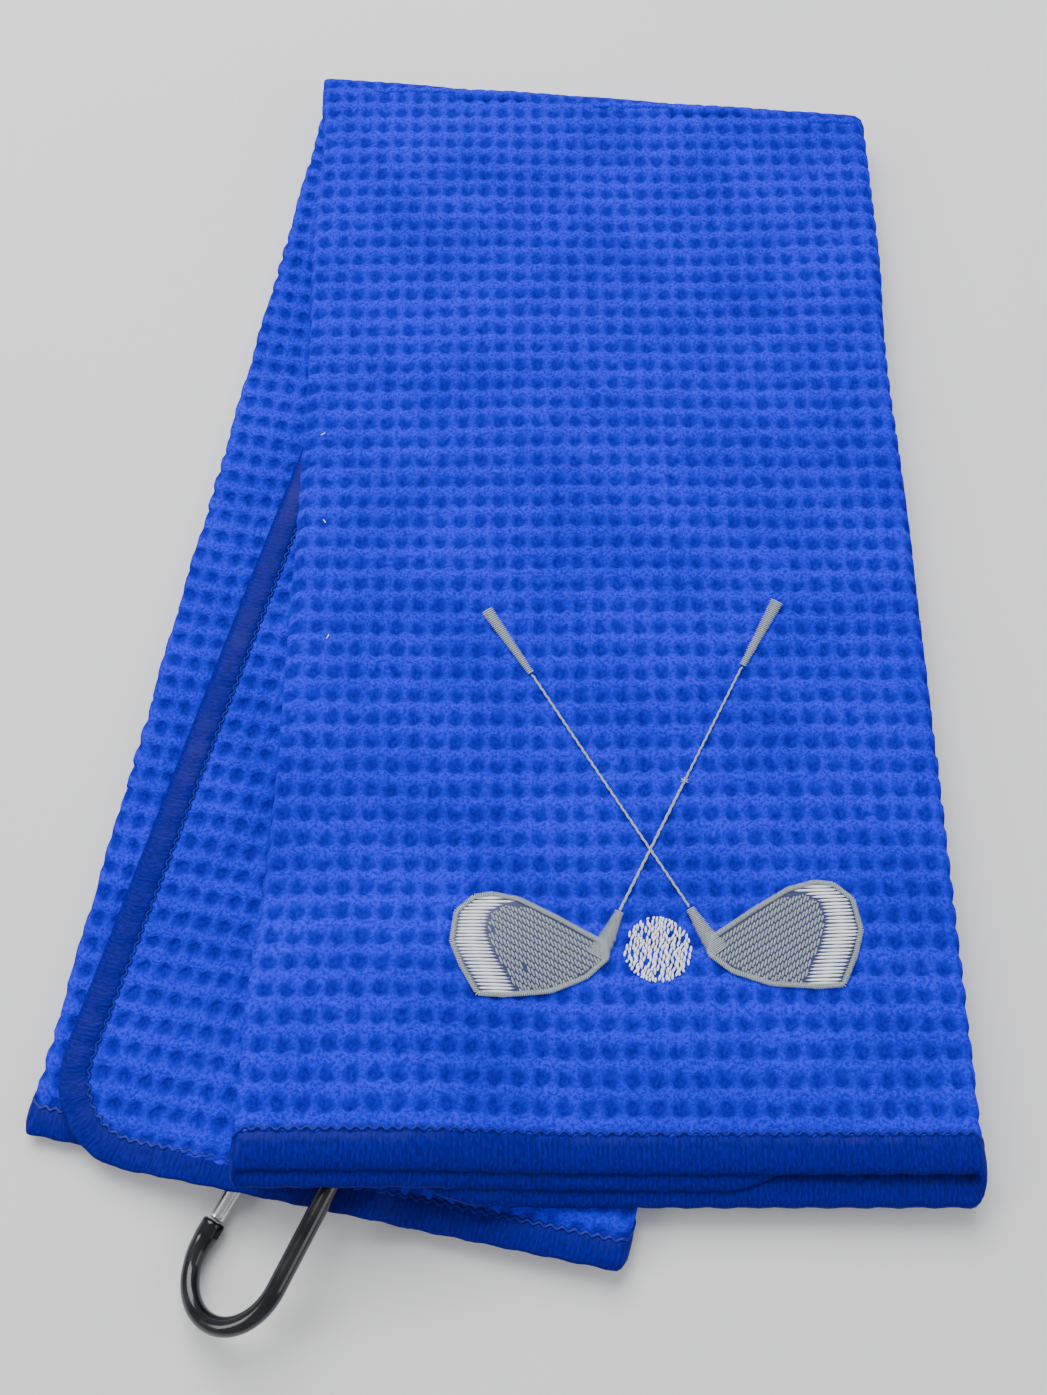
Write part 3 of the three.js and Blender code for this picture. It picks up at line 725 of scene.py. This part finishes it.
def backing(outline, flipped, lift):
    """The thin web of thread under a fill, which follows the cloth. Its near-black colour is painted shade
    in the gaps between the stitches.
    """
    low = np.min(outline, axis=0)
    span = np.max(outline, axis=0) - low
    bm, places = new_grid(*[int(side / 0.7) for side in span])
    spots = low + places * span
    move_to(bm, np.array([on_cloth(spot, flipped, lift) for spot in spots]))
    bm.verts.index_update()
    beyond = []
    for face in bm.faces:
        x, y = np.mean([spots[v.index] for v in face.verts], axis=0)
        crossings = 0
        for (x0, y0), (x1, y1) in zip(outline, outline[1:] + outline[:1]):
            if (y0 > y) != (y1 > y) and x < x0 + (x1 - x0) * (y - y0) / (y1 - y0):
                crossings += 1
        if crossings % 2 == 0:
            beyond.append(face)
    bmesh.ops.delete(bm, geom=beyond, context="FACES")
    if flipped:
        bmesh.ops.reverse_faces(bm, faces=bm.faces)
    bmesh.ops.solidify(bm, geom=bm.faces[:], thickness=0.15 * MM)
    return bm


threads = {}
for slot, dark, light in (
    ("grey_thread", (0.14, 0.17, 0.19, 1), (0.4, 0.45, 0.47, 1)),
    ("white_thread", (0.8, 0.83, 0.92, 1), (0.97, 0.98, 1, 1)),
    # The underlay thread is near black: painted shade that shows between the stitches of the fills.
    ("shade_underlay_thread", (0.008, 0.012, 0.05, 1), (0.03, 0.045, 0.16, 1)),
):
    finish, recipe, shader = new_finish(slot, 0.4, Specular_IOR_Level=0.4, Sheen_Weight=0.1)
    place = recipe.add("ShaderNodeTexCoord").outputs["Object"]
    place_mm = recipe.add("ShaderNodeMapping", Vector=place, Scale=(1000, 1000, 1000)).outputs[0]
    fuzz, mottle = add_nap(recipe, place_mm, 3.0)
    ply = recipe.add("ShaderNodeTexWave", {"bands_direction": "DIAGONAL"}, Vector=place_mm, Scale=1.4,
                     Distortion=1.5).outputs["Fac"]
    strand = recipe.maths("MULTIPLY_ADD", ply, 0.4, recipe.maths("MULTIPLY", fuzz, 0.6))
    colour = recipe.blend_colours(recipe.spread(strand, 0.25, 0.6), dark, light)
    bump = recipe.add("ShaderNodeBump", Strength=0.4, Distance=0.0001, Height=strand).outputs[0]
    link_in(recipe, shader, Base_Color=colour, Normal=bump)
    threads[slot] = finish


def sewn_piece(bm, name, slot, thread=None):
    """A piece of thread that moves with the front half. Its thread is its slot's own unless named."""
    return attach(finished_piece(bm, name, threads[thread or slot]), "front_half")


for flipped, side in ((False, "left"), (True, "right")):
    grey = bmesh.new()
    fill(grey, FACE, math.radians(-68), 0.6, 0.52, 2.2, 0.36, flipped, gap=0.42, missed=0.01)
    satin(grey, HEAD, (OUTLINE_WIDE,) * 2, 0.42, 0.44, flipped, closed=True, slant=0.3)
    satin(grey, HOSEL, HOSEL_WIDTHS, 0.4, 0.42, flipped)
    satin(grey, GRIP, GRIP_WIDTHS, 0.5, 0.5, flipped)
    if not flipped:
        knot = np.array(SHAFT[0]) + (np.array(SHAFT[1]) - SHAFT[0]) * KNOT_SHARE
        running(grey, SHAFT[0], knot, 2.1, 0.58, flipped)
        running(grey, knot, SHAFT[1], 2.1, 0.72, flipped)
        for angle in (0.3, 1.4, 2.5):
            reach = np.array([math.cos(angle), math.sin(angle)]) * KNOT_REACH
            sew(grey, knot - reach, knot + reach, 0.5, flipped, 0.6)
    else:
        running(grey, SHAFT[0], SHAFT[1], 2.1, 0.65, flipped)
    piece = sewn_piece(grey, f"{side}_club_grey_stitches", "grey_thread")
    shafts = ["upper_shaft", "lower_shaft"] if flipped else ["shaft"]
    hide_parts(*[f"{side}_club_{part}" for part in ["grip", "hosel", "face"] + shafts])
    # A dark web under each head, painted shade in the gaps between its stitches.
    web = backing(HEAD, flipped, BACKING_LIFT)
    sewn_piece(web, f"{side}_club_backing", "grey_thread", "shade_underlay_thread")
    white = bmesh.new()
    fill(white, TOE, 0, 0.8, 0.68, 30, 0, flipped, sway=0.07)
    piece = sewn_piece(white, f"{side}_club_toe_stitches", "white_thread")
    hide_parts(f"{side}_club_toe")

white = bmesh.new()
ring = [(BALL_CENTRE[0] + BALL_RADIUS * math.cos(a), BALL_CENTRE[1] + BALL_RADIUS * math.sin(a))
        for a in np.linspace(0, 2 * math.pi, 33)[:-1]]
fill(white, ring, math.radians(76), 0.68, 0.6, 1.5, 0.37, False, gap=0.15, missed=0.1, sway=0.27)
piece = sewn_piece(white, "ball_stitches", "white_thread")
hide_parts("golf_ball")

# Lint: three short white fibres caught in the nap near the front's left fold.
# Each has its place, the way it points and its length.
LINT_RADIUS = 0.16
LINT = [((-52.5, 32.0), 0.5, 1.5), ((-49.5, 5.5), 2.2, 1.3), ((-47.5, -27.0), 1.1, 1.4)]
lint = bmesh.new()
for (x, y), way, length in LINT:
    a = Vector((x, y, face_height(x, y) + 0.1)) * MM
    b = a + Vector((math.cos(way), math.sin(way), 0.12)) * length * MM
    turn = (b - a).to_track_quat("Z", "X").to_matrix().to_4x4()
    size = Matrix.Diagonal((LINT_RADIUS * MM, LINT_RADIUS * MM, length / 2 * MM, 1))
    made = Matrix.Translation((a + b) / 2) @ turn @ size
    bmesh.ops.create_uvsphere(lint, u_segments=6, v_segments=6, radius=1, matrix=made)
sewn_piece(lint, "lint_fibres", "white_thread")

# Carabiner: round wire bent to a long loop and coated gloss black, with a flared nose.
# Its gate is a bare polished rod on a rivet, closed by a hidden spring.
WIRE_RADIUS = 2
NEAR_RADIUS = 10.4
NEAR_CENTRE = 0.6 - NEAR_RADIUS
FAR_RADIUS = 11.45
FAR_CENTRE = -42.5
LOOP_TURN = math.radians(-28)
LOOP_TILT = math.radians(28.7)
LOOP_MIDDLE = 7.65
NOSE_Y = -37.5
NOSE_RADIUS = 2.5
HINGE_Y = -13.5
TONGUE_Y = HINGE_Y + 2.2
GATE_RADIUS = 1.9
GATE_TIP_RADIUS = 1.65
NOSE_SLOT = (5.6, 3.6, 1.8)
TONGUE_SIZE = (3.2, 5, 1.4)
TONGUE_BEVEL = 0.35
FORK_SLOT = (5.8, 6.4, 2.0)
ROD_SIDES = 28

loop_place = (
    Matrix.Scale(MM, 4)
    @ Matrix.Translation((EYELET[0], EYELET[1], LOOP_MIDDLE))
    @ Matrix.Rotation(LOOP_TURN, 4, "Z")
    @ Matrix.Rotation(-LOOP_TILT, 4, "Y")
)
taper = math.asin((FAR_RADIUS - NEAR_RADIUS) / (NEAR_CENTRE - FAR_CENTRE))


def side_x(y):
    """The gate's line in the loop's own plane."""
    return -(FAR_RADIUS + (FAR_CENTRE - y) * math.sin(taper)) / math.cos(taper)


def rod(path, radii, sides):
    """A round rod along a flat path in the loop's plane, closed at both ends."""
    path = np.array(path, float)
    count = len(path) - 1
    bm, places = new_grid(sides, count)
    station = np.rint(places[:, 1] * count).astype(int)
    ahead = np.gradient(path, axis=0)
    ahead /= np.linalg.norm(ahead, axis=1)[:, None]
    side = np.column_stack([-ahead[:, 1], ahead[:, 0]])
    angle = 2 * math.pi * places[:, 0]
    reach = np.array(radii, float)[station]
    spot = path[station] + side[station] * (reach * np.cos(angle))[:, None]
    points = np.column_stack([spot, reach * np.sin(angle)])
    move_to(bm, points)
    bmesh.ops.remove_doubles(bm, verts=bm.verts, dist=1e-5)
    bmesh.ops.holes_fill(bm, edges=[e for e in bm.edges if e.is_boundary], sides=0)
    bmesh.ops.recalc_face_normals(bm, faces=bm.faces)
    return bm


def cut_block(piece, middle, size):
    """Cuts a block-shaped slot out of a piece, given in the loop's own frame."""
    bm = bmesh.new()
    bmesh.ops.create_cube(bm, size=1)
    bmesh.ops.scale(bm, vec=size, verts=bm.verts)
    bmesh.ops.translate(bm, vec=middle, verts=bm.verts)
    bmesh.ops.transform(bm, matrix=loop_place, verts=bm.verts)
    cutter = finished_piece(bm, "slot_cutter", black)
    slot = piece.modifiers.new("slot", "BOOLEAN")
    slot.operation = "DIFFERENCE"
    slot.object = cutter
    graph = bpy.context.evaluated_depsgraph_get()
    piece.data = bpy.data.meshes.new_from_object(piece.evaluated_get(graph))
    piece.modifiers.clear()
    bpy.data.objects.remove(cutter)


def arc(centre_y, radius, start, end, steps):
    angles = np.linspace(start, end, steps)
    return [(radius * math.cos(a), centre_y + radius * math.sin(a)) for a in angles]


black, recipe, shader = new_finish(
    "black_coating", 0.14, Coat_Weight=0.3, Coat_Roughness=0.06, Specular_IOR_Level=0.35
)
place = recipe.add("ShaderNodeTexCoord").outputs["Object"]
peel = recipe.add("ShaderNodeTexNoise", Vector=place, Scale=900.0, Detail=2.0).outputs["Fac"]
smear = recipe.add("ShaderNodeTexNoise", Vector=place, Scale=140.0, Detail=4.0).outputs["Fac"]
greyed = recipe.spread(smear, 0.35, 0.75)
colour = recipe.blend_colours(greyed, (0.006, 0.006, 0.008, 1), (0.016, 0.016, 0.019, 1))
gloss = recipe.spread(smear, 0.3, 0.7, 0.1, 0.24)
bump = recipe.add("ShaderNodeBump", Strength=0.12, Distance=0.0001, Height=peel).outputs[0]
link_in(recipe, shader, Base_Color=colour, Roughness=gloss, Normal=bump)

leg = [(side_x(y), y) for y in np.linspace(NOSE_Y, FAR_CENTRE, 12)]
far = arc(FAR_CENTRE, FAR_RADIUS, math.pi - taper, 2 * math.pi + taper, 60)
near = arc(NEAR_CENTRE, NEAR_RADIUS, taper, math.pi - taper, 60)
spine = [(-side_x(y), y) for y in np.linspace(FAR_CENTRE + 1, NEAR_CENTRE - 1, 24)]
tongue = [(side_x(y), y) for y in np.linspace(NEAR_CENTRE - 0.5, TONGUE_Y, 4)]
path = leg[:-1] + far[1:] + spine + near + tongue
swell = [NOSE_RADIUS - (NOSE_RADIUS - WIRE_RADIUS) * float(soft_step(NOSE_Y - y, 3.2, 6.5))
         for _, y in leg[:-1]]
swell[0] -= 0.25
radii = swell + [WIRE_RADIUS] * (len(path) - len(swell))
far_start = len(swell)
for step in range(8):
    share = 1 - (step + 1) / 8
    radii[far_start + step] = WIRE_RADIUS + (radii[far_start - 1] - WIRE_RADIUS) * share
bm = rod(path, radii, ROD_SIDES)
bmesh.ops.transform(bm, matrix=loop_place, verts=bm.verts)
loop = finished_piece(bm, "carabiner_loop", black)
cut_block(loop, (side_x(NOSE_Y) + 1.9, NOSE_Y - 1.1, 0), NOSE_SLOT)
bm = bmesh.new()
bmesh.ops.create_cube(bm, size=1)
bmesh.ops.scale(bm, vec=TONGUE_SIZE, verts=bm.verts)
bmesh.ops.bevel(bm, geom=bm.edges[:], offset=TONGUE_BEVEL, offset_type="OFFSET", segments=2, profile=0.5,
                affect="EDGES", material=-1)
bmesh.ops.translate(bm, vec=(side_x(HINGE_Y), HINGE_Y + 0.6, 0), verts=bm.verts)
bmesh.ops.transform(bm, matrix=loop_place, verts=bm.verts)
tongue_piece = finished_piece(bm, "carabiner_tongue", black)
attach(loop, "carabiner")
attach(tongue_piece, "carabiner")
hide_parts("carabiner_frame")

steel, recipe, shader = new_finish("polished_steel", 0.2, Metallic=1.0)
lay = recipe.add("ShaderNodeUVMap", {"uv_map": "lay"}).outputs[0]
along_gate = recipe.add("ShaderNodeMapping", Vector=lay, Scale=(26, 2.2, 1)).outputs[0]
brush = recipe.add("ShaderNodeTexNoise", Vector=along_gate, Scale=1.0, Detail=3.0).outputs["Fac"]
colour = recipe.blend_colours(brush, (0.55, 0.55, 0.54, 1), (0.86, 0.86, 0.85, 1))
gloss = recipe.spread(brush, 0.3, 0.7, 0.13, 0.32)
bump = recipe.add("ShaderNodeBump", Strength=0.12, Distance=0.00005, Height=brush).outputs[0]
link_in(recipe, shader, Base_Color=colour, Roughness=gloss, Normal=bump)
gate_top = HINGE_Y + 1.7
gate_tip = NOSE_Y + 0.4
shank = list(np.linspace(gate_top - 1, gate_tip + 1, 26))
heights = [gate_top, gate_top - 0.3] + shank + [gate_tip + 0.3, gate_tip]
radii = [GATE_RADIUS - (GATE_RADIUS - GATE_TIP_RADIUS) * float(soft_step(y, gate_tip + 9, gate_tip + 2))
         for y in heights]
for number in (0, -1):
    radii[number] -= 0.3
bm = rod([(side_x(y), y) for y in heights], radii, ROD_SIDES)
bmesh.ops.transform(bm, matrix=loop_place, verts=bm.verts)
gate = finished_piece(bm, "polished_gate", steel)
cut_block(gate, (side_x(HINGE_Y), HINGE_Y + 0.2, 0), FORK_SLOT)
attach(gate, "gate")
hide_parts("carabiner_gate")

# Eyelet: a nickel-plated barrel and washer with rolled rims, pressed together through the cloth.
BORE_RADIUS = 9
BARREL_WALL = 0.5
FLANGE_RADIUS = 12
FLANGE_BOTTOM = 5.45
WASHER_TOP = 9.85
FLANGE_THICK = 0.4

nickel, recipe, shader = new_finish("eyelet_metal", 0.3, Metallic=1.0)
place = recipe.add("ShaderNodeTexCoord").outputs["Object"]
cloudy = recipe.add("ShaderNodeTexNoise", Vector=place, Scale=260.0, Detail=5.0).outputs["Fac"]
fine = recipe.add("ShaderNodeTexNoise", Vector=place, Scale=2500.0, Detail=2.0).outputs["Fac"]
colour = recipe.blend_colours(cloudy, (0.5, 0.5, 0.47, 1), (0.72, 0.71, 0.68, 1))
gloss = recipe.spread(cloudy, 0.3, 0.7, 0.22, 0.42)
bump = recipe.add("ShaderNodeBump", Strength=0.15, Distance=0.00005, Height=fine).outputs[0]
link_in(recipe, shader, Base_Color=colour, Roughness=gloss, Normal=bump)


def turned_ring(profile, name):
    """A ring spun from a closed profile of radius and height."""
    bm = bmesh.new()
    verts = [bm.verts.new((EYELET[0] + r, EYELET[1], z)) for r, z in profile]
    edges = [bm.edges.new(pair) for pair in zip(verts, verts[1:] + verts[:1])]
    bmesh.ops.spin(bm, geom=verts + edges, cent=(EYELET[0], EYELET[1], 0), axis=(0, 0, 1),
                   angle=2 * math.pi, steps=64, use_merge=True, use_duplicate=False)
    bmesh.ops.remove_doubles(bm, verts=bm.verts, dist=1e-4)
    bmesh.ops.recalc_face_normals(bm, faces=bm.faces)
    bmesh.ops.scale(bm, vec=(MM, MM, MM), verts=bm.verts)
    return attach(finished_piece(bm, name, nickel), "back_half")


barrel_radius = BORE_RADIUS + BARREL_WALL
low, top, thick = FLANGE_BOTTOM, WASHER_TOP, FLANGE_THICK
barrel = turned_ring([
    (BORE_RADIUS, low + 0.5), (BORE_RADIUS + 0.15, low + 0.15), (BORE_RADIUS + 0.5, low),
    (FLANGE_RADIUS - 0.2, low), (FLANGE_RADIUS, low + 0.2), (FLANGE_RADIUS - 0.2, low + thick),
    (barrel_radius + 0.1, low + thick), (barrel_radius, low + thick + 0.1), (barrel_radius, top - 0.15),
    (barrel_radius - 0.1, top), (BORE_RADIUS + 0.1, top), (BORE_RADIUS, top - 0.15),
], "eyelet_barrel")
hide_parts("eyelet")
washer = turned_ring([
    (barrel_radius + 0.3, top - thick), (FLANGE_RADIUS - 0.2, top - thick), (FLANGE_RADIUS, top - 0.2),
    (FLANGE_RADIUS - 0.2, top - 0.05), (barrel_radius + 1.2, top), (barrel_radius + 0.3, top - 0.1),
], "eyelet_ring")
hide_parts("eyelet_washer")

# The small parts of the hinge keep their own shapes, and are plated like the eyelet.
for name in ("gate_rivet", "gate_spring", "gate_catch"):
    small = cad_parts[name]
    small.data.materials.clear()
    small.data.materials.append(nickel)
